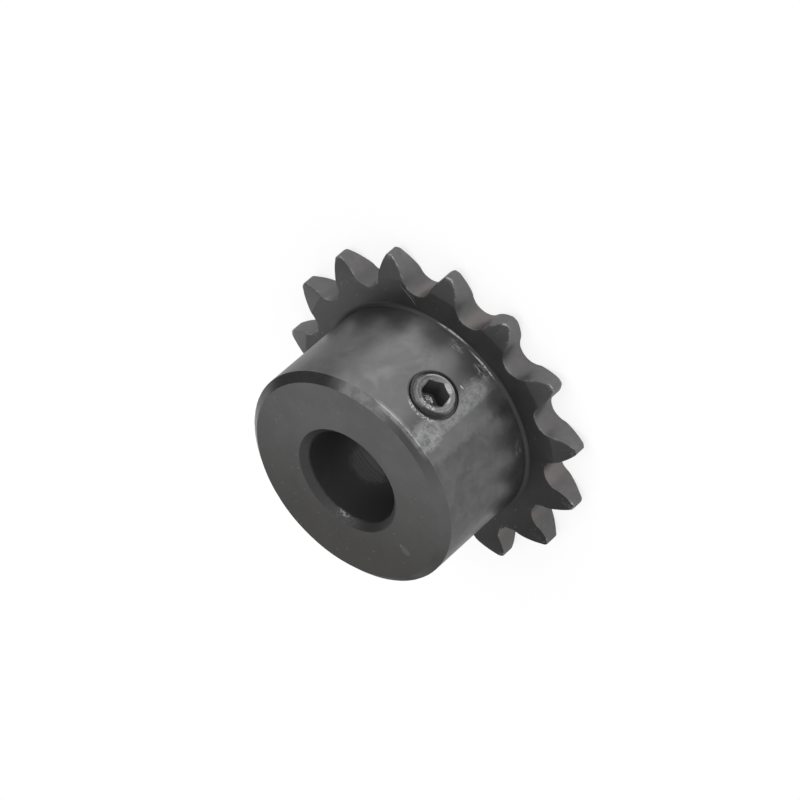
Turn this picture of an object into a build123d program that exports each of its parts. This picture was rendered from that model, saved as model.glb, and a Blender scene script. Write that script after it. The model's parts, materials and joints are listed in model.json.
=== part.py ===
from build123d import *
from math import acos, atan2, cos, degrees, hypot, radians, sin, sqrt, tan
import os

# A roller chain sprocket with a hub on one side, fixed on its shaft by one set screw.
# Frame: the origin is on the bore axis at the back face of the toothed plate, +Z runs
# along the bore to the nose of the hub, and +X passes through the set screw and the
# middle of a tooth. Sizes are in millimetres.

# The chain that the teeth carry has a quarter inch pitch
chain_pitch = 6.35
roller_diameter = 3.30
tooth_count = 15

# Tooth gap: a roller seat between two convex flanks
seat_share = 0.505            # radius of the seat as a share of the roller's diameter
seat_angle = 128.6            # how far the seat's arc wraps the roller
flank_radius = 5.65
tip_land = 0.58               # width of the flat left on the tip before it is rounded
tip_rounding = 0.35

# Toothed plate
plate_thickness = 2.7
tooth_bevel_length = 2.25     # how far in from the tips both faces lean towards each other
tooth_bevel_depth = 0.7       # what each face has lost at the tips
cutter_margin = 1.0           # how far a cutting outline runs past the tips

# Hub and bore
hub_diameter = 23.2
hub_projection = 12.3         # from the plate's front face to the nose of the hub
hub_root_radius = 0.4
nose_chamfer_radial = 0.85
nose_chamfer_axial = 0.7
bore_diameter = 10.0
bore_chamfer = 0.7

# Set screw and its tapped hole, both without their fine thread
screw_diameter = 5.0
thread_clearance = 0.05       # on the radius, between the screw and the wall of its hole
screw_above_plate = 6.7       # axis of the screw above the plate's front face
screw_length = 6.0
screw_proud = 0.4             # how far the screw's face stands out of the hub
face_chamfer_radial = 0.55
face_chamfer_axial = 0.5
point_chamfer = 1.2
cup_angle = 120.0
socket_flats = 2.5
socket_depth = 2.5
socket_mouth_diameter = 3.1
socket_mouth_depth = 0.15
socket_turn = 38.6            # how far round the socket happens to sit
drill_point_angle = 120.0

# Sizes that follow from the ones above
tooth_angle = 360 / tooth_count
pitch_radius = chain_pitch / 2 / sin(radians(tooth_angle / 2))
seat_radius = seat_share * roller_diameter
hub_radius = hub_diameter / 2
bore_radius = bore_diameter / 2
overall_length = plate_thickness + hub_projection
screw_height = plate_thickness + screw_above_plate
screw_radius = screw_diameter / 2 - thread_clearance

# The centre of a flank's arc, seen from a gap whose centre line is the X axis. The seat's
# arc is centred on the pitch circle, and the flank's arc is tangent to it, with its centre
# on the far side of the tooth.
half_seat = seat_angle / 2
flank_x = pitch_radius - (seat_radius + flank_radius) * cos(radians(half_seat))
flank_y = (seat_radius + flank_radius) * sin(radians(half_seat))
flank_centre_radius = hypot(flank_x, flank_y)
flank_centre_angle = degrees(atan2(flank_y, flank_x))

# The tips lie where the two flanks of a tooth have closed in to the width of the land
past_middle = radians(flank_centre_angle - tooth_angle / 2)
flank_reach = flank_centre_radius * sin(past_middle) + tip_land / 2
tip_radius = hypot(
    flank_centre_radius * cos(past_middle) + sqrt(flank_radius**2 - flank_reach**2),
    tip_land / 2,
)

# How far a flank's arc turns, from the seat to a little way outside the tips
cutter_radius = tip_radius + cutter_margin
corner_cosine = flank_centre_radius**2 + flank_radius**2 - cutter_radius**2
corner_cosine = corner_cosine / (2 * flank_centre_radius * flank_radius)
flank_turn = flank_centre_angle + half_seat + degrees(acos(corner_cosine)) - 180

# Tooth gap: the outline that a cutter takes out between two teeth
with BuildSketch() as tooth_gap:
    with BuildLine():
        CenterArc((pitch_radius, 0), seat_radius, 180 - half_seat, seat_angle)
        upper = CenterArc((flank_x, flank_y), flank_radius, -half_seat, flank_turn)
        lower = CenterArc((flank_x, -flank_y), flank_radius, half_seat, -flank_turn)
        Line(upper @ 1, lower @ 1)
    make_face()

# Sprocket body: toothed plate and hub, one piece of steel
with BuildPart() as sprocket_body:
    with BuildSketch() as toothed_disc:
        Circle(tip_radius)
        with PolarLocations(0, tooth_count, start_angle=tooth_angle / 2):
            add(tooth_gap.sketch, mode=Mode.SUBTRACT)
        tip_corners = toothed_disc.vertices().filter_by(
            lambda corner: corner.center().length > tip_radius - tip_land / 2
        )
        fillet(tip_corners, radius=tip_rounding)
    extrude(amount=plate_thickness)

    # Bevels: both faces are turned thinner towards the tips, to lead into the chain
    bevel_slope = tooth_bevel_depth / tooth_bevel_length
    bevel_start = tip_radius - tooth_bevel_length
    waste_depth = bevel_slope * (cutter_radius - bevel_start)
    for face_height, inward in ((0, 1), (plate_thickness, -1)):
        with BuildSketch(Plane.XZ):
            with BuildLine():
                Polyline(
                    (bevel_start, face_height),
                    (cutter_radius, face_height),
                    (cutter_radius, face_height + inward * waste_depth),
                    close=True,
                )
            make_face()
        revolve(axis=Axis.Z, mode=Mode.SUBTRACT)

    # Hub: a plain cylinder with a small radius at its root and a chamfered nose
    with BuildSketch(Plane.XY.offset(plate_thickness)):
        Circle(hub_radius)
    extrude(amount=hub_projection)
    hub_circles = sprocket_body.edges(Select.LAST).filter_by(GeomType.CIRCLE).sort_by(Axis.Z)
    hub_root = hub_circles[0]
    nose_edge = hub_circles[-1]
    nose_face = sprocket_body.faces().sort_by(Axis.Z)[-1]
    fillet(hub_root, radius=hub_root_radius)
    chamfer(nose_edge, nose_chamfer_radial, nose_chamfer_axial, reference=nose_face)

    # Bore: right through plate and hub, chamfered at both ends
    Hole(bore_radius)
    bore_mouths = sprocket_body.edges(Select.LAST).filter_by(GeomType.CIRCLE)
    chamfer(bore_mouths, bore_chamfer)

    # Tapped hole: from the bore out through the wall of the hub
    with BuildSketch(Plane.YZ):
        with Locations((0, screw_height)):
            Circle(screw_diameter / 2)
    extrude(amount=hub_diameter, mode=Mode.SUBTRACT)

sprocket_body.part.label = "sprocket_body"

# Set screw: turned from bar along the X axis, with a cup point towards the shaft
screw_face_x = hub_radius + screw_proud
screw_point_x = screw_face_x - screw_length
cup_radius = screw_radius - point_chamfer
cup_depth = cup_radius / tan(radians(cup_angle / 2))
socket_radius = socket_flats / 2
drill_depth = socket_radius / tan(radians(drill_point_angle / 2))
screw_axis = Axis((0, 0, screw_height), (1, 0, 0))
screw_section = Plane(origin=(0, 0, screw_height), x_dir=(1, 0, 0), z_dir=(0, -1, 0))
screw_front = Plane(origin=(screw_face_x, 0, screw_height), x_dir=(0, 1, 0), z_dir=(1, 0, 0))

with BuildPart() as set_screw:
    with BuildSketch(screw_section):
        with BuildLine():
            Polyline(
                (screw_point_x + cup_depth, 0),
                (screw_point_x, cup_radius),
                (screw_point_x + point_chamfer, screw_radius),
                (screw_face_x - face_chamfer_axial, screw_radius),
                (screw_face_x, screw_radius - face_chamfer_radial),
                (screw_face_x, 0),
                close=True,
            )
        make_face()
    revolve(axis=screw_axis)

    # Socket: a drilled hole with a chamfered mouth, broached to a hexagon
    with BuildSketch(screw_section):
        with BuildLine():
            Polyline(
                (screw_face_x, 0),
                (screw_face_x, socket_mouth_diameter / 2),
                (screw_face_x - socket_mouth_depth, socket_radius),
                (screw_face_x - socket_depth, socket_radius),
                (screw_face_x - socket_depth - drill_depth, 0),
                close=True,
            )
        make_face()
    revolve(axis=screw_axis, mode=Mode.SUBTRACT)
    with BuildSketch(screw_front):
        RegularPolygon(socket_radius, 6, major_radius=False, rotation=socket_turn)
    extrude(amount=-socket_depth, mode=Mode.SUBTRACT)

set_screw.part.label = "set_screw"

os.makedirs("parts", exist_ok=True)
export_step(sprocket_body.part, "parts/sprocket_body.step")
export_step(set_screw.part, "parts/set_screw.step")
print("outside diameter", round(2 * tip_radius, 2))
print("overall length", round(overall_length, 2))
print("length of the bore's wall", round(overall_length - 2 * bore_chamfer, 2))
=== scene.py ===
import json
from math import acos, atan2, cos, degrees, hypot, pi, radians, sin, tan

import bmesh
import bpy
import numpy as np
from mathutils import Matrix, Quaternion, Vector, noise


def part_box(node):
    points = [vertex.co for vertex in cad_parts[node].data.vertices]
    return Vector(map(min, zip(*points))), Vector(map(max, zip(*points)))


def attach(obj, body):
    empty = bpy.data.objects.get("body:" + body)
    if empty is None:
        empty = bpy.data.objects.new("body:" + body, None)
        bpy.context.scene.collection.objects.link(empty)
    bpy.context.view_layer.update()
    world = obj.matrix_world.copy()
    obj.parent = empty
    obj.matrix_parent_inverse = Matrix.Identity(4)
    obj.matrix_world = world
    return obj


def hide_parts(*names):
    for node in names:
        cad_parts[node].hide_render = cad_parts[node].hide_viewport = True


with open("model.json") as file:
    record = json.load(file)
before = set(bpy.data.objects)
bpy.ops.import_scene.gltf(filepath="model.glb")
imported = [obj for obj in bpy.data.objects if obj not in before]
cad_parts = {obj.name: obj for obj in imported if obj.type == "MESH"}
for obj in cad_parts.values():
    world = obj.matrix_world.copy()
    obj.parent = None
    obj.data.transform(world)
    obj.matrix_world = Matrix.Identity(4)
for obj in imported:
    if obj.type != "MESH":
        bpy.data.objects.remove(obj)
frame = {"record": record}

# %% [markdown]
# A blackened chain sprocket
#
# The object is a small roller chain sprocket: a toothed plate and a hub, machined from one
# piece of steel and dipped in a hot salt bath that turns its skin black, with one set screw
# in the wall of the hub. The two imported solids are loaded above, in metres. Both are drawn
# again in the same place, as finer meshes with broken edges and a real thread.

MM = 0.001
scene = bpy.context.scene
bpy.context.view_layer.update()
body_low, body_high = (Vector(corner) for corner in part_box("sprocket_body"))
screw_low, screw_high = (Vector(corner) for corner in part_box("set_screw"))
mounts = {mount["name"]: mount for mount in frame["record"]["mounts"]}
bore_radius = mounts["bore"]["dims"]["r_mm"] * MM
overall_length = body_high.z
bore_chamfer = (overall_length - mounts["bore"]["dims"]["length_mm"] * MM) / 2


def add_object(name, data):
    """Makes an object and puts it into the scene."""
    added = bpy.data.objects.new(name, data)
    scene.collection.objects.link(added)
    return added


print("body", [round(v / MM, 2) for v in body_high - body_low], "mm")
print("screw", [round(v / MM, 2) for v in screw_high - screw_low], "mm")

# %% [markdown]
# Camera
#
# The photograph looks down on the nose of the hub from about 36 degrees above the plate,
# through a long lens, and is rolled so that the bore points down and to the left. The roll
# turns the camera about its line of sight after it has been aimed, which is simpler than
# writing three rotation angles by hand.

# %% Camera at the photograph's viewing angle
camera_azimuth = radians(-3.57)
camera_elevation = radians(35.71)
camera_roll = radians(-131.09)
camera_distance = 429.5 * MM
camera_aim = Vector((1.63, 2.33, 5.44)) * MM
focal_length = 206.6
sensor_width = 36.0

line_of_sight = Vector((
    cos(camera_elevation) * cos(camera_azimuth),
    cos(camera_elevation) * sin(camera_azimuth),
    sin(camera_elevation),
))
camera = add_object("camera", bpy.data.cameras.new("camera"))
camera.data.lens = focal_length
camera.data.sensor_width = sensor_width
camera.data.clip_end = 20.0
camera.location = camera_aim + line_of_sight * camera_distance
camera.rotation_mode = "QUATERNION"
camera.rotation_quaternion = (
    line_of_sight.to_track_quat("Z", "Y") @ Quaternion((0, 0, 1), camera_roll)
)
scene.camera = camera
print("camera", [round(v / MM, 1) for v in camera.location], "mm")

# %% [markdown]
# Outline of the teeth
#
# A roller sits in a round seat between two teeth, and the flanks curve away from it. The
# outline could be traced, but a formula is shorter and exact: an arc of the seat about a
# point on the pitch circle, a flank's arc tangent to it, a small rounding, and half of the
# flat land on the tip. Half a tooth is enough, because it is mirrored and then repeated.

# %% Sizes of the teeth and of the plate
tooth_count = 15
chain_pitch = 6.35 * MM
roller_diameter = 3.30 * MM
seat_radius = 0.505 * roller_diameter
half_seat = radians(128.6 / 2)
flank_radius = 5.65 * MM
tip_radius = body_high.x
tip_rounding = 0.35 * MM
plate_thickness = 2.7 * MM
bevel_length = 2.25 * MM
bevel_depth = 0.7 * MM
bevel_start = tip_radius - bevel_length
bevel_slope = bevel_depth / bevel_length
half_pitch = pi / tooth_count
pitch_radius = chain_pitch / 2 / sin(half_pitch)
print("outside diameter", round(2 * tip_radius / MM, 2), "mm")

# %% Half a tooth, from the middle of a gap to the middle of the tip
def arc(centre, radius, start, end, steps):
    """Points of an arc about a centre, without its first point."""
    angles = start + (end - start) * np.arange(1, steps + 1) / steps
    return np.c_[centre[0] + radius * np.cos(angles), centre[1] + radius * np.sin(angles)]


def half_tooth():
    """Outline from the middle of a gap, on the X axis, up to the middle of the next tip."""
    reach = seat_radius + flank_radius
    flank = np.array([pitch_radius - reach * cos(half_seat), reach * sin(half_seat)])
    far, bearing = hypot(*flank), atan2(flank[1], flank[0])
    inner_tip, inner_flank = tip_radius - tip_rounding, flank_radius - tip_rounding
    swing = acos((inner_tip**2 + far**2 - inner_flank**2) / (2 * inner_tip * far))
    corner = inner_tip * np.array([cos(bearing - swing), sin(bearing - swing)])
    leave = atan2(*(corner - flank)[::-1])
    seat = arc((pitch_radius, 0), seat_radius, pi, pi - half_seat, 7)
    side = arc(flank, flank_radius, -half_seat, leave, 8)
    rounding = arc(corner, tip_rounding, leave, bearing - swing, 4)
    land = arc((0, 0), tip_radius, bearing - swing, half_pitch, 1)
    root = np.array([[pitch_radius - seat_radius, 0.0]])
    return np.vstack([root, seat, side, rounding, land])


def turned(points, angle):
    """Points in the plane, turned about the origin."""
    c, s = cos(angle), sin(angle)
    return points @ np.array([[c, s], [-s, c]])


half = half_tooth()
one_tooth = np.vstack([half[:-1], turned(half * (1, -1), 2 * half_pitch)[:0:-1]])
outline = np.vstack([turned(one_tooth, (2 * k + 1) * half_pitch) for k in range(tooth_count)])
along = np.roll(outline, -1, axis=0) - np.roll(outline, 1, axis=0)
outward = np.c_[along[:, 1], -along[:, 0]] / np.hypot(*along.T)[:, None]
around = len(outline)
margin = 0.15 * MM
inner_outline = outline - outward * margin
bearings = np.arctan2(inner_outline[:, 1], inner_outline[:, 0])
print("outline points", around, "reach", round(np.hypot(*outline.T).max() / MM, 3), "mm")

# %% [markdown]
# Turned surfaces
#
# Everything but the teeth comes off a lathe, so it is one profile swept round the axis. A
# real edge is never sharp: the tool leaves it broken and the bath rounds it a little more.
# A bevel modifier could do that, but it struggles beside a bored hole, so each corner of
# the profile becomes a small arc with a point on either side that keeps the flats flat.

# %% Profile of the hub, the bore and the back face
hub_radius = 11.6 * MM
hub_root_radius = 0.4 * MM
nose_chamfer_radial = 0.85 * MM
nose_chamfer_axial = 0.7 * MM
edge_radius = 0.045 * MM
support_reach = 0.08 * MM
ring_spacing = 1.1 * MM

fillet_turn = np.linspace(0, pi / 2, 6)
root_fillet = np.c_[
    hub_radius + hub_root_radius * (1 - np.sin(fillet_turn)),
    plate_thickness + hub_root_radius * (1 - np.cos(fillet_turn)),
]
turned_corners = np.array([
    (hub_radius, overall_length - nose_chamfer_axial),
    (hub_radius - nose_chamfer_radial, overall_length),
    (bore_radius + bore_chamfer, overall_length),
    (bore_radius, overall_length - bore_chamfer),
    (bore_radius, bore_chamfer),
    (bore_radius + bore_chamfer, 0),
])
back_face_end = np.array((hub_radius, 0))


def soften(before, corner, after, radius=edge_radius, steps=3):
    """Replaces a corner of a profile by an arc with a support point on either side."""
    back, ahead = before - corner, after - corner
    back, ahead = back / np.linalg.norm(back), ahead / np.linalg.norm(ahead)
    half_angle = acos(np.clip(back @ ahead, -1, 1)) / 2
    cut = radius / tan(half_angle)
    middle = (back + ahead) / np.linalg.norm(back + ahead)
    centre = corner + middle * radius / sin(half_angle)
    start, end = corner + back * cut - centre, corner + ahead * cut - centre
    points = [corner + back * (cut + support_reach)]
    for share in np.linspace(0, 1, steps + 1):
        spoke = start * (1 - share) + end * share
        points.append(centre + spoke / np.linalg.norm(spoke) * radius)
    points.append(corner + ahead * (cut + support_reach))
    return points, middle


print("corners of the turned profile", len(turned_corners))

# %% Rings of the lathe work, with slightly uneven edges
rng = np.random.default_rng(7)
nibble_depth = 0.012 * MM


def unevenness(finest=60):
    """A smooth random wave round the axis, between about -1 and 1."""
    turns = np.arange(3, finest)
    weights = rng.normal(size=turns.size) / np.sqrt(turns.size)
    phases = rng.uniform(0, 2 * pi, turns.size)
    return (weights * np.sin(np.outer(bearings, turns) + phases)).sum(axis=1)


def circle_ring(radius, height):
    """A ring whose points lie in the same directions as those just inside the outline."""
    radius = np.broadcast_to(radius, (around,))
    height = np.broadcast_to(height, (around,))
    return np.c_[radius * np.cos(bearings), radius * np.sin(bearings), height]


def lathe_rings():
    """Rings from the plate's front face over the hub and down the bore to the back face."""
    path = [root_fillet[-1], *turned_corners, back_face_end]
    rings = [circle_ring(*point) for point in root_fillet]
    for before, corner, after in zip(path, path[1:], path[2:]):
        points, middle = soften(before, corner, after)
        last = np.array([hypot(*rings[-1][0, :2]), rings[-1][0, 2]])
        spans = int(np.linalg.norm(points[0] - last) / ring_spacing)
        for share in np.arange(1, spans + 1) / (spans + 1):
            rings.append(circle_ring(*(last * (1 - share) + points[0] * share)))
        nibble = np.clip(unevenness(), 0, 1) * nibble_depth
        for place, point in enumerate(points):
            depth = nibble if 0 < place < len(points) - 1 else 0 * nibble
            rings.append(circle_ring(point[0] + middle[0] * depth, point[1] + middle[1] * depth))
    return rings


hub_rings = lathe_rings()
print("rings on the turned surfaces", len(hub_rings))

# %% [markdown]
# Toothed rim
#
# Both faces of the plate lean towards each other near the tips, so that the teeth find
# their way between the links. The rim's rings run from the turned back face out to the
# bevel, over the edge of the outline, along the flanks and back over the front. Where a
# gap is deeper than the bevel, the rings crowd together beside its edge instead of
# crossing it.

# %% Rings over the rim of the plate
tooth_edge_radius = 0.05 * MM
crease_reach = 0.07 * MM
crowding = 0.02 * MM
plain_circles = (12.6 * MM, 13.2 * MM)


def lean(radius):
    """How much thinner one face has become at a radius."""
    return bevel_slope * np.maximum(radius - bevel_start, 0)


def edge_ring(inset, drop):
    """A ring that follows the outline, so far in from it and so far below the front face."""
    points = outline - outward * np.reshape(inset, (-1, 1))
    height = plate_thickness - lean(np.hypot(*points.T)) - drop
    return np.c_[points, height]


def face_ring(radius, place):
    """A ring on the front face: a circle, held back where the outline comes in further."""
    radius = np.minimum(radius, np.hypot(*inner_outline.T) - crowding * place)
    return circle_ring(radius, plate_thickness - lean(radius))


def front_rings():
    """Rings from the root of the hub out to the flanks, on the front face."""
    wear = tooth_edge_radius * (1 + 0.5 * np.clip(unevenness(160), -1, 1))
    targets = [hub_radius + hub_root_radius + support_reach, *plain_circles]
    targets += [bevel_start - crease_reach, bevel_start + crease_reach]
    rings = [face_ring(radius, len(targets) - k) for k, radius in enumerate(targets)]
    rings.append(edge_ring(margin, 0))
    rings.append(edge_ring(wear, 0))
    rings.append(edge_ring(wear * (1 - sin(pi / 4)), wear * (1 - cos(pi / 4))))
    rings.append(edge_ring(0, wear))
    rings.append(edge_ring(0, wear + support_reach))
    return rings


def mirrored(ring):
    """The same ring on the back half of the plate."""
    return ring * (1, 1, -1) + (0, 0, plate_thickness)


rim_back = [mirrored(ring) for ring in front_rings()]
rim_front = front_rings()
flank_middle = (rim_back[-1] + rim_front[-1]) / 2
rings = rim_back + [flank_middle] + rim_front[::-1] + hub_rings
print("rings in all", len(rings), "points", len(rings) * around)

# %% The rings become one closed skin
def new_piece(name, mesh):
    """An object that rides on the one body of the part."""
    piece = add_object(name, mesh)
    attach(piece, "root")
    return piece


def closed_skin(name, rings):
    """Quads between neighbouring rings, closed both round the axis and round the profile."""
    count, width = len(rings), len(rings[0])
    here = np.arange(count * width).reshape(count, width)
    up, right = np.roll(here, -1, axis=0), np.roll(here, -1, axis=1)
    quads = np.stack([here, right, np.roll(up, -1, axis=1), up], axis=-1).reshape(-1, 4)
    mesh = bpy.data.meshes.new(name)
    mesh.from_pydata(np.concatenate(rings).tolist(), [], quads.tolist())
    mesh.update()
    return mesh


body_mesh = closed_skin("sprocket_skin", rings)
print("skin", len(body_mesh.polygons), "quads")

# %% [markdown]
# Screw thread
#
# Both the hole and the screw carry an M5 thread with a pitch of 0.8 mm. A thread can be
# made with the Screw modifier, but its ends then need to be trimmed. Here the grid itself
# climbs like the thread: each ring of points rises by one pitch a turn, and at the ends it
# is pressed flat against the end plane and inside the turned blank. The doubled points are
# merged afterwards. The same function makes the screw and the tap that cuts its hole.

# %% A helical skin inside a turned blank
thread_pitch = 0.8 * MM
thread_columns = 96
thread_steps = 16
screw_height = (screw_low.z + screw_high.z) / 2
screw_face_x = screw_high.x
screw_point_x = screw_low.x
socket_turn = radians(38.6)
column_angles = socket_turn + 2 * pi * np.arange(thread_columns) / thread_columns
thread_fractions = (0, 1 / 8, 7 / 16, 11 / 16, 1)


def helical_grid(low, high, crest, root, blank):
    """Rows of points (along the axis, radius) that climb one pitch a turn."""
    turns = (high - low) / thread_pitch + 1
    rows = int(np.ceil(thread_steps * turns)) + 2
    fraction = np.arange(rows) % thread_steps / thread_steps
    groove = np.interp(fraction, thread_fractions, (crest, crest, root, root, crest))
    climb = column_angles / (2 * pi) * thread_pitch
    x = low - thread_pitch + np.arange(rows)[:, None] * thread_pitch / thread_steps
    x = np.clip(x + climb - climb[0], low, high)
    radius = np.minimum(groove[:, None], blank(x))
    return x, radius


def on_screw_axis(x, radius):
    """Points round the screw's axis, from places along it and radii."""
    x, radius, angles = np.broadcast_arrays(x, radius, column_angles)
    return np.stack([x, radius * np.cos(angles), screw_height + radius * np.sin(angles)], -1)


def helical_faces(rows):
    """Quads of the helical grid, with the step of one pitch where a turn closes."""
    quads = []
    for a in range((rows - 1) * thread_columns):
        closes_turn = (a + 1) % thread_columns == 0
        b = a + 1 + (thread_steps - 1) * thread_columns * closes_turn
        if b + thread_columns < rows * thread_columns:
            quads.append((a, b, b + thread_columns, a + thread_columns))
    return quads


print("thread of", round(thread_pitch / MM, 2), "mm a turn, in", thread_steps, "steps")

# %% End caps, and the merge that closes the mesh
def threaded_mesh(name, grid, low_rings, high_rings):
    """A closed mesh from a helical grid and plain rings that close both of its ends."""
    x, radius = grid
    bm = bmesh.new()
    points = [bm.verts.new(p) for p in on_screw_axis(x, radius).reshape(-1, 3)]
    for quad in helical_faces(len(x)):
        bm.faces.new([points[k] for k in quad])
    for rings, flip in ((low_rings, True), (high_rings, False)):
        rows = [[bm.verts.new(p) for p in on_screw_axis(*ring)] for ring in rings]
        for lower, upper in zip(rows, rows[1:]):
            for k in range(thread_columns):
                j = (k + 1) % thread_columns
                corners = [lower[k], lower[j], upper[j], upper[k]]
                bm.faces.new(corners[::-1] if flip else corners)
    bmesh.ops.remove_doubles(bm, verts=bm.verts, dist=0.001 * MM)
    bmesh.ops.dissolve_degenerate(bm, edges=bm.edges, dist=0.0005 * MM)
    bmesh.ops.recalc_face_normals(bm, faces=bm.faces)
    open_edges = sum(not edge.is_manifold for edge in bm.edges)
    mesh = bpy.data.meshes.new(name)
    bm.to_mesh(mesh)
    bm.free()
    print(name, len(mesh.polygons), "faces,", open_edges, "open edges")
    return mesh


# %% [markdown]
# Tapped hole
#
# The tap runs through the wall of the hub into the bore. A Boolean modifier with the exact
# solver cuts the closed skin with the closed tap, which leaves a thread that can be seen
# from the bore. The first turn at the mouth is opened to the full diameter, and a small lip
# is turned off its edge, as it is on a hole that has been deburred.

# %% Cut the thread into the hub
hole_crest = 2.5 * MM
hole_root = 2.12 * MM
tap_core = hole_root / 2
tap_start = 3.6 * MM
tap_end = 13.0 * MM
end_step = 0.01 * MM
mouth_start = hub_radius - 0.45 * MM
opening_length = 0.15 * MM
lip_depth = 0.18 * MM
lip_slope = 0.3
lip_limit = 0.3 * MM


def tap_blank(x):
    """The tap's ends are drawn in to a narrow core, clear of the metal it cuts."""
    ends = np.minimum(x - tap_start, tap_end - x)
    return np.where(ends < end_step, tap_core, hole_crest)


def tap_grid():
    """The thread of the tap, opened to its full diameter at the mouth of the hole."""
    x, radius = helical_grid(tap_start, tap_end, hole_crest, hole_root, tap_blank)
    opened = np.clip((x - mouth_start) / opening_length, 0, 1)
    wide = np.maximum(radius, hole_root + (hole_crest - hole_root) * opened)
    wide = np.minimum(wide, tap_blank(x))
    lip = np.clip((x - hub_radius + lip_depth) * lip_slope, 0, lip_limit)
    return x, np.where(x < tap_end, wide + lip, wide)


tap_ends = [[(x, tap_core), (x, 0.0)] for x in (tap_start, tap_end)]
tap_mesh = threaded_mesh("tap", tap_grid(), *tap_ends)


def cut(mesh, tool_mesh):
    """The mesh with the tool's volume taken out by an exact Boolean."""
    blank = add_object("blank", mesh)
    tool = add_object("tool", tool_mesh)
    modifier = blank.modifiers.new("cut", "BOOLEAN")
    modifier.operation, modifier.solver, modifier.object = "DIFFERENCE", "EXACT", tool
    depsgraph = bpy.context.evaluated_depsgraph_get()
    result = bpy.data.meshes.new_from_object(blank.evaluated_get(depsgraph))
    for part in (blank, tool):
        bpy.data.objects.remove(part)
    return result


body_mesh = cut(body_mesh, tap_mesh)
body_mesh.name = "sprocket_skin"
body_mesh.shade_smooth()
body_mesh.set_sharp_from_angle(angle=radians(38))
body_piece = new_piece("sprocket_skin", body_mesh)
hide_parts("sprocket_body")
print("tapped skin", len(body_mesh.polygons), "faces")

# %% [markdown]
# Set screw
#
# The screw is bought, not made here: a headless M5 screw with a hexagon socket, a chamfered
# rim and a cup point that bites into the shaft. The socket is a drilled hole, broached to a
# hexagon, with a countersunk mouth that cuts deeper at the flats than at the corners. A
# hexagon in polar form gives all of that on the thread's own columns of points.

# %% Rim, socket and cup point of the screw
screw_radius = 2.45 * MM
screw_root = 2.03 * MM
face_chamfer_radial = 0.55 * MM
face_chamfer_axial = 0.5 * MM
point_chamfer = 1.2 * MM
socket_radius = 1.25 * MM
socket_depth = 2.5 * MM
mouth_radius = 1.55 * MM
mouth_depth = 0.15 * MM
corner_relief = 0.03 * MM
rim_rounding = 0.05 * MM
mouth_rounding = 0.04 * MM
half_point_angle = radians(60)
drill_depth = socket_radius / tan(half_point_angle)
cup_radius = screw_radius - point_chamfer
cup_depth = cup_radius / tan(half_point_angle)


def screw_blank(x):
    """Radius of the turned blank: chamfered at the rim and at the point."""
    rim = screw_radius - (x - (screw_face_x - face_chamfer_axial)) * (
        face_chamfer_radial / face_chamfer_axial
    )
    point = cup_radius + (x - screw_point_x)
    return np.minimum(np.minimum(rim, point), screw_radius)


corner_turn = (column_angles - socket_turn + pi / 6) % (pi / 3) - pi / 6
hexagon = socket_radius / np.cos(np.abs(corner_turn) - pi / 6)
hexagon = np.minimum(hexagon, socket_radius / cos(pi / 6) - corner_relief)
mouth_drop = mouth_depth * (mouth_radius - hexagon) / (mouth_radius - socket_radius)


def screw_rings():
    """Rings of the cup point and of the face with its socket, as (along the axis, radius)."""
    rim_radius = screw_radius - face_chamfer_radial
    below_rim = np.array((rim_radius + 0.11 * MM, -0.1 * MM))
    rim, mouth = np.array((rim_radius, 0.0)), np.array((mouth_radius, 0.0))
    in_mouth = np.array((socket_radius, -mouth_depth))
    face = soften(below_rim, rim, mouth, rim_rounding)[0][1:]
    face += soften(rim, mouth, in_mouth, mouth_rounding)[0][:-1]
    top = [(screw_face_x + height, radius) for radius, height in face]
    wall = [mouth_drop, mouth_drop + 0.03 * MM, 0.8 * MM, 1.6 * MM, socket_depth]
    top += [(screw_face_x - depth, hexagon) for depth in wall]
    top += [(screw_face_x - socket_depth, socket_radius * 0.98)]
    top += [(screw_face_x - socket_depth - drill_depth, 0.0)]
    cup = [(screw_point_x, cup_radius), (screw_point_x + cup_depth, 0.0)]
    return cup, top


cup_rings, face_rings = screw_rings()
rim_x = face_rings[0][0]
screw_grid = helical_grid(screw_point_x, rim_x, screw_radius, screw_root, screw_blank)
screw_mesh = threaded_mesh("set_screw_skin", screw_grid, cup_rings, face_rings)
screw_mesh.shade_smooth()
screw_mesh.set_sharp_from_angle(angle=radians(38))
screw_piece = new_piece("set_screw_skin", screw_mesh)
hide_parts("set_screw")

# %% [markdown]
# Edge wear
#
# Handling rubs the black skin off the edges first. A shader can find edges with its Bevel
# node, but that is slow. The edges of this part are known circles and a known outline, so
# each point of the mesh is given a number that says how near it is to one, and the material
# reads that number by name.

# %% How near each point lies to an edge
wear_reach = 0.09 * MM
face_weight = 0.7  # wear reaches further over the faces than down the flanks


def distance_to_circles(radius, height, circles):
    """Distance to the nearest of some circles, given as (radius, height)."""
    points = np.stack([radius, height], -1)[:, None]
    return np.linalg.norm(points - circles, axis=-1).min(axis=1)


def distance_to_outline(points):
    """Distance to the edges of the toothed rim, on either face of the plate."""
    radius = np.hypot(points[:, 0], points[:, 1])
    bearing = np.arctan2(points[:, 1], points[:, 0])
    outline_bearings = np.arctan2(outline[:, 1], outline[:, 0])
    order = np.argsort(outline_bearings)
    rim = np.interp(bearing, outline_bearings[order], np.hypot(*outline[order].T), period=2 * pi)
    across = np.maximum(rim - radius, 0)
    top = plate_thickness - lean(rim)
    below, above = points[:, 2] - top, points[:, 2] - plate_thickness + top
    far = np.hypot(across * face_weight, np.minimum(np.abs(below), np.abs(above)))
    return np.where(points[:, 2] > plate_thickness + 0.05 * MM, 1.0, far)


def store(mesh, name, values):
    """Keeps one number for each point of a mesh."""
    mesh.attributes.new(name, "FLOAT", "POINT").data.foreach_set("value", values)


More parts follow.
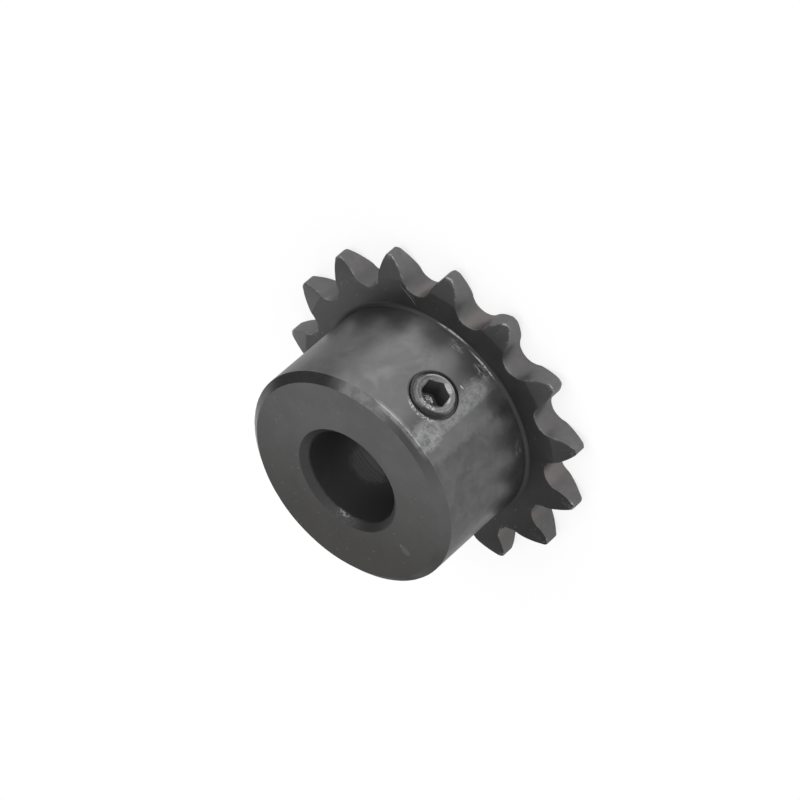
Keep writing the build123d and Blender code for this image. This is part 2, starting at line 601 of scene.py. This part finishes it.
def mesh_points(mesh):
    """The points of a mesh as an array."""
    points = np.empty(len(mesh.vertices) * 3)
    mesh.vertices.foreach_get("co", points)
    return points.reshape(-1, 3)


points = mesh_points(body_mesh)
radius = np.hypot(points[:, 0], points[:, 1])
near = distance_to_circles(radius, points[:, 2], turned_corners)
near = np.minimum(near, distance_to_outline(points))
store(body_mesh, "edge", np.exp(-((near / wear_reach) ** 2)))
print("points on edges", int((near < wear_reach).sum()), "of", len(points))

points = mesh_points(screw_mesh)
radius = np.hypot(points[:, 1], points[:, 2] - screw_height)
rim_edges = [(edge, screw_face_x) for edge in (screw_radius - face_chamfer_radial, mouth_radius)]
near = distance_to_circles(radius, points[:, 0], np.array(rim_edges))
store(screw_mesh, "edge", np.exp(-((near / wear_reach) ** 2)))

# %% [markdown]
# Recipes for finishes
#
# A finish is a small program of nodes. Writing each node and each link by hand hides the
# idea behind it, so a helper makes a node, joins what it is given and returns its output.
# Lengths in the recipes are in millimetres, as the coordinates are scaled up first.

# %% A helper that writes node recipes
class Recipe:
    """Makes and joins the nodes of one finish, or of the sky."""

    def __init__(self, block):
        block.use_nodes = True
        self.nodes = block.node_tree.nodes
        self.links = block.node_tree.links

    def put(self, socket, value):
        """Joins an output to a socket, or sets the socket's own value."""
        if isinstance(value, bpy.types.NodeSocket):
            self.links.new(value, socket)
        else:
            socket.default_value = value

    def node(self, kind, values, output=0, **settings):
        """Makes a node and gives back one of its outputs."""
        node = self.nodes.new(kind)
        for key, setting in settings.items():
            setattr(node, key, setting)
        for key, value in values.items():
            self.put(node.inputs[key], value)
        return node.outputs[output]

    def math(self, operation, a, b=0.0):
        return self.node("ShaderNodeMath", {0: a, 1: b}, operation=operation)

    def vector(self, operation, a, b=None):
        values = {0: a} if b is None else {0: a, 3 if operation == "SCALE" else 1: b}
        output = 1 if operation in ("LENGTH", "DISTANCE", "DOT_PRODUCT") else 0
        return self.node("ShaderNodeVectorMath", values, output, operation=operation)

    def combine(self, x, y, z):
        return self.node("ShaderNodeCombineXYZ", {0: x, 1: y, 2: z})

    def split(self, vector):
        """The three parts of a vector."""
        node = self.nodes.new("ShaderNodeSeparateXYZ")
        self.put(node.inputs[0], vector)
        return node.outputs

    def source(self, kind, output):
        """An output of a node that needs no input."""
        return self.nodes.new(kind).outputs[output]

    def degrees_round(self, across, along):
        """The direction of a point in a plane, in degrees."""
        return self.math("MULTIPLY", self.math("ARCTAN2", along, across), degrees(1))

    def apart(self, value, centre):
        """How far a value lies from a centre, on either side."""
        return self.math("ABSOLUTE", self.math("SUBTRACT", value, centre))

    def shift(self, value, centre, reach):
        """How far a value lies from a centre, as a share of a reach."""
        values = {0: value, 1: 1 / reach, 2: -centre / reach}
        return self.node("ShaderNodeMath", values, operation="MULTIPLY_ADD")

    def spot(self, across, along, centre, reach, ragged, wobble):
        """A soft patch in two coordinates, with a border that a noise makes ragged."""
        across, along = self.shift(across, centre[0], reach[0]), self.shift(along, centre[1], reach[1])
        far = self.vector("LENGTH", self.combine(across, along, 0.0))
        far = self.math("ADD", far, self.math("MULTIPLY", wobble, ragged))
        return self.remap(far, 1.2 + ragged / 2, 0.7 + ragged / 2)

    def join(self, operation, values):
        """Takes several numbers together by one operation."""
        total = values[0]
        for value in values[1:]:
            total = self.math(operation, total, value)
        return total

    def most(self, *values):
        """The highest of several numbers."""
        return self.join("MAXIMUM", values)

    def times(self, *values):
        """The product of several numbers."""
        return self.join("MULTIPLY", values)

    def remap(self, value, low, high, to_low=0.0, to_high=1.0):
        """Maps a range of values smoothly to another, held at both ends."""
        values = {"Value": value, "From Min": low, "From Max": high}
        values.update({"To Min": to_low, "To Max": to_high})
        return self.node("ShaderNodeMapRange", values, interpolation_type="SMOOTHSTEP")

    def noise(self, vector, scale, detail=3.0, roughness=0.5, distortion=0.0):
        values = {"Vector": vector, "Scale": scale, "Detail": detail}
        values.update({"Roughness": roughness, "Distortion": distortion})
        return self.node("ShaderNodeTexNoise", values)

    def mix(self, factor, a, b, kind="RGBA"):
        """Mixes two colours."""
        node = self.nodes.new("ShaderNodeMix")
        node.data_type = kind
        self.put(node.inputs["Factor"], factor)
        self.put(node.inputs["A"], a)
        self.put(node.inputs["B"], b)
        return node.outputs["Result"]

    def blend(self, factor, a, b):
        """Mixes two numbers."""
        return self.mix(factor, a, b, "FLOAT")

    def tell(self, what):
        """Prints how many nodes there are so far."""
        print(what, "-", len(self.nodes), "nodes")


class Finish(Recipe):
    """The recipe of a material, with the point's place on the part in millimetres."""

    def __init__(self, name):
        self.material = bpy.data.materials.new(name)
        super().__init__(self.material)
        self.shader = self.nodes["Principled BSDF"]
        self.place = self.vector("SCALE", self.source("ShaderNodeTexCoord", "Object"), 1 / MM)

    def surface(self, colour, roughness, relief, depth):
        """Joins the finish to the shader. The relief is a height from 0 to 1."""
        values = {"Strength": 1.0, "Distance": depth, "Height": relief}
        self.put(self.shader.inputs["Base Color"], colour)
        self.put(self.shader.inputs["Roughness"], roughness)
        self.put(self.shader.inputs["Normal"], self.node("ShaderNodeBump", values))

    def cover(self, mesh, metallic, edge_tint=1.0):
        """Gives the finish to a mesh. The tint darkens bare metal where it is seen aslant."""
        self.put(self.shader.inputs["Metallic"], metallic)
        self.put(self.shader.inputs["Specular Tint"], grey(edge_tint))
        mesh.materials.clear()
        mesh.materials.append(self.material)


def tone(red, green, blue):
    """A colour from its three parts."""
    return (red, green, blue, 1.0)


def grey(value, warmth=0.0):
    """A nearly neutral colour."""
    return tone(value * (1 + warmth), value, value * (1 - warmth))


# %% [markdown]
# Blackened steel
#
# Black oxide is thin, so surfaces that were cut differently look different although they
# share one bath. The hub's wall is smooth and shows soft reflections, the faces are duller,
# and the flanks have a faint brown tone. Above that come mottling, rubbed streaks and specks,
# and painted light and shade: sides of the hub, nose, plate and teeth are coloured lighter
# or darker as the light falls on them.
# One material keeps the body one piece, and its masks for the zones come from the radius,
# the height and the direction round the axis.

# %% Where on the body a point lies
black = Finish("blackened_steel")
x, y, z = black.split(black.place)
flat_place = black.combine(x, y, 0)
radial = black.vector("LENGTH", flat_place)
heading = black.vector("NORMALIZE", flat_place)
bearing = black.degrees_round(x, y)
above_screw = black.math("SUBTRACT", z, screw_height / MM)
from_screw = black.vector("LENGTH", black.combine(y, above_screw, 0))
round_screw = black.degrees_round(y, above_screw)
upright = black.math("ABSOLUTE", black.split(black.source("ShaderNodeNewGeometry", "Normal"))[2])
is_face = black.remap(upright, 0.8, 0.92)
is_wall = black.remap(upright, 0.5, 0.2)
is_nose = black.remap(z, 14, 14.2)
outside_nose = black.remap(radial, 11.2, 11.4)
is_hub_wall = black.times(is_wall, black.remap(radial, 12, 11.7), outside_nose)
is_flank = black.times(is_wall, black.remap(radial, 12.9, 13.3))
is_bore = black.remap(radial, 5.03, 5.01)
on_plate = black.remap(z, 2.75, 2.7)
is_bevel = black.times(black.remap(radial, 14.65, 14.75), on_plate)
in_hole = black.times(black.remap(from_screw, 2.66, 2.58), black.remap(x, 9, 10))
black.tell("zones")

# %% Mottling, turning marks and grain
def wound(round_axis, up_axis):
    """Places for marks that run round the hub."""
    up = black.combine(0, 0, black.math("MULTIPLY", z, up_axis))
    return black.vector("ADD", black.vector("SCALE", heading, round_axis), up)


mottle = black.noise(black.place, 0.35, 4, 0.55)
fine_mottle = black.noise(black.place, 1.6, 5, 0.65)
flecks = black.noise(black.place, 5, 6, 0.75)
grain = black.noise(black.place, 12, 4, 0.7)
lathe_place = black.combine(black.math("MULTIPLY", radial, 9), black.math("MULTIPLY", z, 9), 0)
lathe_place = black.vector("ADD", lathe_place, black.vector("SCALE", heading, 1.5))
turning = black.noise(lathe_place, 1, 4, 0.65)
bruises = black.noise(wound(3.5, 0.25), 1, 3, 0.5, 0.4)
black.tell("mottling")

# %% Colours of the zones
# Painted light: the nose face is coloured lighter towards one side and darker towards the other, as
# the light falls on it.
across_nose = black.math("ADD", black.times(x, cos(radians(30))), black.times(y, sin(radians(30))))
nose_colour = black.mix(black.remap(across_nose, -9, 8), grey(0.073, 0.03), grey(0.134))
nose_colour = black.mix(black.remap(mottle, 0.35, 0.65, 0, 0.16), nose_colour, grey(0.05))
# Painted shade and light: the bore's chamfer is coloured darker than the nose, and painted lighter on
# one side (lit_from).
in_bore_chamfer = black.times(black.remap(radial, 5.75, 5.65), black.remap(upright, 0.92, 0.8))
lit_from = black.remap(black.math("SUBTRACT", x, y), 0, 6)
nose_colour = black.mix(in_bore_chamfer, nose_colour, black.mix(lit_from, grey(0.055), grey(0.13)))
nose_colour = black.mix(black.remap(radial, 5.08, 5.04), nose_colour, grey(0.02))
off_face = black.remap(radial, 10.7, 10.8)
# Painted shade: the nose's chamfer is coloured darker on most of its way round, least where it faces
# the light.
chamfer_shade = black.times(off_face, black.remap(bearing, -40, -5, 0.15, 0.74))
chamfer_shade = black.times(chamfer_shade, black.remap(bearing, 40, 52, 1, 0.3))
nose_colour = black.mix(chamfer_shade, nose_colour, grey(0.045))
# Painted shade: the chamfer on the lower side of the nose is coloured darker, and the same mask also
# makes it rougher.
lower_chamfer_shade = black.times(off_face, black.remap(bearing, -92, -112))
lower_chamfer_shade = black.times(lower_chamfer_shade, black.remap(bearing, -179, -165))
nose_colour = black.mix(lower_chamfer_shade, nose_colour, grey(0.035))
plate_colour = black.mix(black.remap(mottle, 0.3, 0.7), grey(0.064), grey(0.079, 0.01))
plate_colour = black.mix(black.times(is_bevel, 0.25), plate_colour, grey(0.1))
# Painted shade on the plate towards -Y, and painted light on it towards +Y.
plate_colour = black.mix(black.remap(y, -8, -15.5, 0, 0.85), plate_colour, grey(0.028))
plate_colour = black.mix(black.remap(y, 8, 15, 0, 0.6), plate_colour, grey(0.115))
# Painted light: the bevels of the teeth on the lit side are coloured paler.
lit_bevel = black.times(is_bevel, black.remap(y, 11, 14), black.remap(x, 6, -6), 0.5)
plate_colour = black.mix(lit_bevel, plate_colour, grey(0.23))
face_colour = black.mix(is_nose, plate_colour, nose_colour)
# Painted highlight: a broad lighter band on the hub's wall round 18 degrees, where a soft light
# reflects.
wall_highlight = black.remap(black.apart(bearing, 18), 27, 10)
wall_colour = black.mix(wall_highlight, grey(0.115), grey(0.262))
# Painted shade and light: past the highlight the wall is coloured darker, and lighter again from 55 to
# 175 degrees (lit_side).
beyond_wall_highlight = black.remap(black.math("ABSOLUTE", bearing), 46, 75)
lit_side = black.times(black.remap(bearing, 55, 70), black.remap(bearing, 175, 115))
side_shading_colour = black.mix(lit_side, grey(0.1), grey(0.155))
wall_colour = black.mix(beyond_wall_highlight, wall_colour, side_shading_colour)
wall_colour = black.mix(black.remap(bruises, 0.35, 0.65, 0, 0.35), wall_colour, grey(0.06))
# A darker patch low on the hub's wall.
dark_wall_patch = black.spot(bearing, z, (-23, 4.4), (8, 1.1), 0.9, fine_mottle)
wall_colour = black.mix(black.times(dark_wall_patch, 0.6), wall_colour, grey(0.05))
clouds = black.remap(black.noise(black.place, 0.55, 5, 0.6, 0.6), 0.42, 0.68, 0, 0.4)
wall_colour = black.mix(clouds, wall_colour, grey(0.165, 0.01))
wall_colour = black.mix(black.times(in_hole, 0.9), wall_colour, grey(0.09, 0.03))
flank_colour = black.mix(black.remap(fine_mottle, 0.3, 0.7), grey(0.148), tone(0.178, 0.169, 0.17))
seat_in_shade = black.remap(black.apart(bearing, -25), 30, 14, 0, 0.9)
side_of_gap = black.math("SINE", black.math("MULTIPLY", bearing, radians(tooth_count)))
in_seat = black.times(black.remap(radial, 15, 14.2), black.math("SUBTRACT", 1, seat_in_shade))
lit_seat = black.times(in_seat, black.remap(side_of_gap, -0.9, 0.1))
flank_colour = black.mix(black.times(in_seat, 0.4), flank_colour, grey(0.1))
flank_colour = black.mix(lit_seat, flank_colour, tone(0.205, 0.189, 0.186))
# Painted shade: the flanks round -110 degrees are coloured darker.
flanks_in_shade = black.remap(black.apart(bearing, -110), 65, 15, 0, 0.45)
flank_colour = black.mix(flanks_in_shade, flank_colour, grey(0.07, 0.03))
colour = black.mix(is_hub_wall, face_colour, wall_colour)
colour = black.mix(is_flank, colour, flank_colour)
from_back_of_bore = black.math("SUBTRACT", 180, black.math("ABSOLUTE", bearing))
worn_bore = black.spot(from_back_of_bore, z, (0, 8.7), (25, 1.6), 1.1, fine_mottle)
bore_marks = black.times(worn_bore, black.remap(turning, 0.4, 0.65))
bore_colour = black.mix(worn_bore, grey(0.1), grey(0.125))
bore_colour = black.mix(bore_marks, bore_colour, grey(0.21))
colour = black.mix(is_bore, colour, bore_colour)
black.tell("colours")

# %% [markdown]
# Handling marks
#
# Steel that lies loose among other steel is rubbed where it was gripped, and scratched
# where a tool slipped. Such marks could be painted on an image, but each is only a patch at
# a known place on the turned part. So each one is an oval in degrees and millimetres whose
# border is broken up by a noise, and inside it the bright metal shows through in flecks.

# %% Rubbed patches on the hub's wall, as ovals of (degrees round the axis, height)
smears = black.noise(black.place, 1.9, 5, 0.62, 0.3)


def on_wall(centre, reach, ragged):
    """A patch on the hub's wall with a smeared border."""
    return black.spot(bearing, z, centre, reach, ragged, smears)


blots = black.noise(black.place, 3.2, 3, 0.6, 0.5)
scoured = black.remap(flecks, 0.3, 0.6, 0.55, 1)
scoured = black.times(scoured, black.remap(smears, 0.36, 0.6, 0.4, 1))
scratches = black.remap(black.noise(wound(14, 5.5), 1, 5, 0.7), 0.48, 0.58)
rubs = black.remap(black.noise(wound(60, 1.3), 1, 4, 0.65), 0.4, 0.62, 0.4, 1)
# The wide smooth band is a painted highlight along the wall; the narrower flecked bands in it are
# rubbed metal.
wide_band_sheen = on_wall((-17, 9), (8.6, 14), 0.6)
band = on_wall((-12.6, 9), (4.4, 14), 0.6)
band_near_nose = on_wall((-12, 13.1), (7.2, 2.3), 1.1)
band_by_plate = on_wall((-11.6, 6.2), (6.2, 2.6), 1.4)
root_scuff_low = on_wall((-6.3, 3.5), (5.2, 0.6), 0.8)
root_scuff_high = on_wall((11, 3.6), (5, 0.5), 0.9)
shade_scuff = on_wall((-48.5, 3.8), (5, 0.5), 0.9)
slip_mark = black.spot(bearing, z, (-5.6, 6.5), (1.2, 0.075), 0.3, flecks)
# Scuffed metal round the hole's mouth, with its flecks painted bright as glints.
mouth_scuff_glint = black.spot(round_screw, from_screw, (97, 2.68), (38, 0.27), 1, blots)
patches = black.most(
    black.times(wide_band_sheen, 0.13),
    black.times(band, scoured, 0.45),
    black.times(band_near_nose, scoured, 0.6),
    black.times(band_by_plate, rubs, 0.32),
    black.times(root_scuff_low, scratches),
    black.times(root_scuff_high, scratches, 0.7),
    black.times(shade_scuff, scratches, 0.3),
    black.times(slip_mark, 0.75),
)
on_outer_wall = black.remap(x, 10.5, 11)
mouth_scuff_glint = black.times(mouth_scuff_glint, black.remap(blots, 0.42, 0.56, 0.3, 1), on_outer_wall)
mouth_scuff_glint = black.times(mouth_scuff_glint, black.remap(flecks, 0.47, 0.58))
patches = black.times(black.most(patches, mouth_scuff_glint), is_hub_wall)
black.tell("patches")

# %% Marks on the chamfer, the root, the plate and the nose
is_chamfer = black.times(
    black.remap(z, 14.2, 14.3),
    off_face,
    black.math("SUBTRACT", 1, black.math("MAXIMUM", is_face, is_wall)),
)
chamfer_rub = black.times(
    is_chamfer,
    black.spot(bearing, z, (21, 14.6), (14, 3), 0.3, fine_mottle),
    black.remap(black.noise(black.place, 1.1, 4, 0.6), 0.42, 0.6, 0.07, 0.15),
)
near_hub = black.remap(radial, 12.1, 12)
root_line = black.times(on_wall((15.5, 2.8), (9, 0.06), 0.8), 0.6)
root_line = black.most(root_line, on_wall((-4.5, 3.02), (8.5, 0.11), 1))
root_line = black.times(root_line, near_hub, black.remap(smears, 0.4, 0.5, 0.3, 1))
scratch_course = black.math("SUBTRACT", bearing, black.shift(radial, 13.2, 1 / 3.79))
scratch_line = black.spot(scratch_course, radial, (39.9, 13.2), (0.34, 0.85), 0.4, flecks)
scratch_twin = black.spot(scratch_course, radial, (38.3, 13.4), (0.22, 0.6), 0.6, flecks)
plate_scratch = black.most(black.times(scratch_line, 0.7), black.times(scratch_twin, 0.5))
plate_scratch = black.times(plate_scratch, black.remap(z, 2.6, 2.65))
nose_scuff = black.spot(bearing, radial, (-95.8, 8.45), (3, 0.62), 0.7, smears)
nose_nick = black.spot(bearing, radial, (-95.8, 7.8), (1.1, 0.13), 0.4, smears)
nose_scuff = black.most(black.times(nose_scuff, is_nose, 0.08), black.times(nose_nick, is_nose, 0.2))
bore_nicks = black.spot(bearing, radial, (-160, 5.12), (8, 0.2), 0.6, smears)
bore_nicks = black.times(bore_nicks, black.remap(blots, 0.48, 0.56), 0.3)
bore_dust = black.spot(bearing, radial, (-157, 5.5), (19, 0.6), 0.6, smears)
bore_dust = black.times(bore_dust, black.remap(flecks, 0.56, 0.62), 0.1)
bore_nicks = black.times(black.most(bore_nicks, bore_dust), black.remap(z, 14.1, 14.2))
from_speck = black.node("ShaderNodeTexVoronoi", {"Vector": black.place, "Scale": 1})
specks = black.times(is_face, black.remap(from_speck, 0.14, 0.056), 0.12)
marks = black.most(patches, chamfer_rub, root_line, plate_scratch, nose_scuff, bore_nicks, specks)
black.tell("marks")

# %% Rubbed edges, with painted glints and highlights
edge = black.node("ShaderNodeAttribute", {}, 2, attribute_name="edge")
broken = black.remap(black.noise(black.place, 0.9, 5, 0.7), 0.46, 0.66)
on_tip = black.remap(radial, 16.3, 16.7)
tooth_edge = black.times(edge, on_plate, broken, 0.42)
tip_glint = black.times(edge, on_tip, black.remap(z, 1.8, 2), black.remap(smears, 0.46, 0.56), 0.8)
# Painted highlight: a stretch of the nose's rubbed edge near 0 degrees is coloured brighter.
nose_edge_highlight = black.spot(bearing, z, (-1.5, 14.5), (17, 4), 0.3, fine_mottle)
nose_edge_highlight = black.times(nose_edge_highlight, outside_nose, black.remap(z, 13.9, 14.1))
nose_edge_highlight = black.times(nose_edge_highlight, edge, black.remap(fine_mottle, 0.35, 0.55, 0.35, 1))
marks = black.most(marks, tooth_edge, tip_glint, nose_edge_highlight)
colour = black.mix(marks, colour, grey(0.5, -0.01))
# Painted glints: the root line, the slip mark and the mouth's scuff are raised nearly to white on top
# of their rubbed metal.
bright = black.times(black.most(root_line, slip_mark), 0.5)
bright = black.most(bright, black.times(mouth_scuff_glint, 0.7))
colour = black.mix(black.times(bright, is_wall, 0.6), colour, grey(0.9, -0.01))
black.tell("edges")

# %% Roughness and relief of the body
# Painted shade: the crease where the hub meets the plate is coloured darker, except on the marks.
root_crease_shade = black.times(near_hub, black.remap(z, 3.15, 3.05))
colour = black.mix(black.times(root_crease_shade, black.math("SUBTRACT", 1, marks), 0.5), colour, grey(0.04))
roughness = black.blend(is_hub_wall, 0.45, 0.34)
roughness = black.blend(is_chamfer, roughness, black.blend(lower_chamfer_shade, 0.22, 0.5))
roughness = black.blend(marks, roughness, 0.34)
uneven = black.math("MULTIPLY", black.math("SUBTRACT", fine_mottle, 0.5), 0.2)
smooth_bore = black.math("SUBTRACT", black.math("ADD", worn_bore, 0.1), is_bore)
turned_relief = black.times(turning, black.remap(smooth_bore, -0.9, 0, 0.05, 0.5))
relief = black.math("ADD", turned_relief, black.math("MULTIPLY", grain, 0.7))
relief = black.math("ADD", relief, black.times(patches, smears, 2))
black.surface(colour, black.math("ADD", roughness, uneven), relief, 0.0035 * MM)
black.cover(body_mesh, metallic=black.blend(in_hole, 0.75, 0.2), edge_tint=0.6)
black.tell("black finish")

# %% [markdown]
# Screw steel
#
# The screw is harder steel, blackened by its maker and then worn by the key: its face and
# the mouth of the socket are rubbed nearly bright, the rim's chamfer stays dark, and dust has
# gathered in the gap round it. Light and shade are painted on it as well: a painted shadow
# in a crescent on the rim on the side of the nose, painted shade in the upper side of the
# socket's mouth, a face painted lighter towards one side, and painted glints. The masks are
# measured from the screw's own axis.

# %% Finish of the screw
worn = Finish("screw_steel")
x, y, z = worn.split(worn.place)
above_screw = worn.math("SUBTRACT", z, screw_height / MM)
from_screw = worn.vector("LENGTH", worn.combine(y, above_screw, 0))
round_screw = worn.degrees_round(y, above_screw)
scuffs = worn.noise(worn.place, 3.5, 6, 0.7)
pits = worn.noise(worn.place, 6, 4, 0.7, 0.5)
on_rim = worn.remap(from_screw, 1.88, 1.94)
below_face = worn.remap(x, 11.8, 11.7)
in_socket = worn.times(below_face, worn.remap(from_screw, 1.7, 1.6))
outside = worn.remap(x, 11.75, 11.85)
# Painted light: the screw's face is coloured lighter towards one side and darker towards the other.
away = worn.math("ADD", worn.times(y, -0.87), worn.times(above_screw, -0.5))
face_colour = worn.mix(worn.remap(away, -1.4, 1.4), grey(0.085, 0.01), grey(0.19))
face_colour = worn.mix(worn.remap(scuffs, 0.4, 0.65, 0, 0.5), face_colour, grey(0.26))
rim_colour = worn.mix(worn.remap(scuffs, 0.35, 0.65), grey(0.1, 0.02), grey(0.19, 0.01))
colour = worn.mix(on_rim, face_colour, rim_colour)
# Painted shade: the upper side of the face inside the socket's mouth is coloured darker.
mouth_shade = worn.spot(round_screw, from_screw, (-45, 1.64), (52, 0.15), 0.3, scuffs)
colour = worn.mix(worn.times(mouth_shade, 0.65), colour, grey(0.05, 0.01))
# Painted shadow: a dark crescent on the rim's chamfer on the side of the nose; the same mask sets its
# roughness to 0.3.
crescent_shade = worn.spot(round_screw, from_screw, (122, 2.3), (44, 0.42), 0.5, scuffs)
colour = worn.mix(worn.times(crescent_shade, on_rim, 0.85), colour, grey(0.028, -0.03))
colour = worn.mix(worn.times(below_face, 0.8), colour, grey(0.035))
colour = worn.mix(in_socket, colour, grey(0.1))
dusty = worn.remap(from_screw, 2.2, 2.4)
colour = worn.mix(dusty, colour, grey(0.08, 0.04))
worn.tell("screw")

# %% Where the key and the light catch the screw
edge = worn.node("ShaderNodeAttribute", {}, 2, attribute_name="edge")
# Painted highlights and glints on the face: an arc along the rim, a patch and a line by the socket,
# and flecks on the side of the nose, on top of the worn edges.
highlight_arc = worn.spot(round_screw, from_screw, (-70, 1.9), (55, 0.3), 0.4, scuffs)
slip_glint = worn.spot(round_screw, from_screw, (-108, 1.5), (24, 0.24), 0.5, pits)
key_line_glint = worn.spot(round_screw, from_screw, (-160, 1.42), (19, 0.08), 0.4, pits)
battered_glints = worn.spot(round_screw, from_screw, (98, 1.7), (38, 0.26), 0.5, pits)
rubbed = worn.times(edge, worn.remap(pits, 0.35, 0.6, 0.05, 0.3))
rubbed = worn.most(
    rubbed,
    worn.times(edge, highlight_arc, worn.remap(pits, 0.3, 0.5, 0.4, 1)),
    worn.times(slip_glint, outside, worn.remap(pits, 0.4, 0.55, 0.3, 1)),
    worn.times(key_line_glint, outside, 0.8),
    worn.times(battered_glints, outside, worn.remap(pits, 0.45, 0.58)),
)
colour = worn.mix(rubbed, colour, grey(0.62, -0.015))
roughness = worn.blend(crescent_shade, worn.remap(scuffs, 0.3, 0.7, 0.28, 0.46), 0.3)
worn.surface(colour, roughness, worn.math("ADD", scuffs, pits), 0.008 * MM)
worn.cover(screw_mesh, metallic=worn.blend(worn.most(dusty, in_socket), 0.85, 0.15))
worn.tell("worn screw")

# %% [markdown]
# A chip in the socket
#
# A sliver of metal and dried oil is stuck in the mouth of the socket, on the side of the
# nose. A ball whose points are pushed in and out by a fractal noise gives a lump, and
# squeezing it makes it lie against the socket's wall.

# %% The lump, and its finish
chip_centre = Vector((11.70, 0.03, 10.37)) * MM
chip_size = Vector((0.30, 0.48, 0.29)) * MM
chip_lumps = 2.6


def chip_mesh_of(name):
    """A ball, broken up by noise and squeezed to its size."""
    bm = bmesh.new()
    bmesh.ops.create_icosphere(bm, subdivisions=5, radius=1.0)
    for vert in bm.verts:
        swell = noise.fractal(vert.co * chip_lumps, 0.8, 2.1, 4)
        place = vert.co * (1 + 0.45 * swell)
        vert.co = chip_centre + Vector(a * b for a, b in zip(place, chip_size))
    mesh = bpy.data.meshes.new(name)
    bm.to_mesh(mesh)
    bm.free()
    mesh.shade_smooth()
    return mesh


chip_mesh = chip_mesh_of("chip_in_socket")
chip_piece = new_piece("chip_in_socket", chip_mesh)
crust = Finish("oily_chip")
crumbs = crust.noise(crust.place, 5.0, 4.0, 0.65)
colour = crust.mix(crust.remap(crumbs, 0.45, 0.58), grey(0.15, -0.04), grey(0.55, -0.03))
crust.surface(colour, crust.remap(crumbs, 0.4, 0.6, 0.45, 0.25), crumbs, 0.02 * MM)
crust.cover(chip_mesh, metallic=0.6)
print("chip", len(chip_mesh.polygons), "faces")

# %% [markdown]
# Floor and light
#
# The photograph is lit by one large soft light from the top of the picture and by pale
# surroundings, and its ground is white. The metal shows whatever stands round it, so the
# lamp has to be large: a small one would show as a hard patch. The floor is white too, and
# the camera sees it a little brighter than the metal does, which keeps a faint shadow.

# %% White floor
floor_size = 3.0
background_white = 0.7
bm = bmesh.new()
bmesh.ops.create_grid(bm, x_segments=2, y_segments=2, size=floor_size / 2)
floor_mesh = bpy.data.meshes.new("floor")
bm.to_mesh(floor_mesh)
bm.free()
floor = add_object("floor", floor_mesh)

paper = Finish("white_paper")
for key, value in {"Base Color": grey(0.88), "Roughness": 0.9, "Specular IOR Level": 0.1}.items():
    paper.put(paper.shader.inputs[key], value)
rays = paper.nodes.new("ShaderNodeLightPath").outputs
seen_white = paper.most(rays["Is Camera Ray"], rays["Is Glossy Ray"], rays["Is Transmission Ray"])
seen_white = paper.math("MULTIPLY", seen_white, background_white)
white = paper.node("ShaderNodeEmission", {"Color": grey(1.0), "Strength": 1.12})
values = {0: seen_white, 1: paper.shader.outputs[0], 2: white}
paper.put(paper.nodes["Material Output"].inputs["Surface"], paper.node("ShaderNodeMixShader", values))
floor_mesh.materials.append(paper.material)
print("floor", floor_size, "m")

# %% Pale surroundings, with two darker corners
def direction_of(azimuth, elevation):
    """The direction of a place in the sky, from two angles in degrees."""
    azimuth, elevation = radians(azimuth), radians(elevation)
    return Vector((cos(elevation) * cos(azimuth), cos(elevation) * sin(azimuth), sin(elevation)))


brightness = 0.9
dark_corners = (
    (direction_of(117, 26), (35, 24), 0.06),
    (direction_of(-158, 20), (32, 8), 0.6),
)

sky = bpy.data.worlds.new("pale_room")
scene.world = sky
room = Recipe(sky)
direction = room.source("ShaderNodeTexCoord", "Generated")
for towards, reach, level in dark_corners:
    closeness = room.vector("DOT_PRODUCT", direction, towards)
    in_corner = room.remap(closeness, *(cos(radians(angle)) for angle in reach))
    brightness = room.blend(in_corner, brightness, level)
seen = room.blend(room.source("ShaderNodeLightPath", "Is Camera Ray"), brightness, 1.0)
background = room.nodes["Background"]
room.put(background.inputs["Color"], grey(1.0))
room.put(background.inputs["Strength"], seen)
room.tell("surroundings")
scene.view_settings.view_transform = "Standard"

# %% One large soft lamp from the top of the picture
lamp_towards = direction_of(60, 58)
lamp_distance = 0.5
lamp_size = 0.4
lamp_power = 0.4
lamp = add_object("softbox", bpy.data.lights.new("softbox", "AREA"))
lamp.data.size = lamp_size
lamp.data.energy = lamp_power
lamp.location = lamp_towards * lamp_distance
lamp.rotation_euler = lamp_towards.to_track_quat("Z", "Y").to_euler()
print("lamp", [round(v, 2) for v in lamp.location], "m")
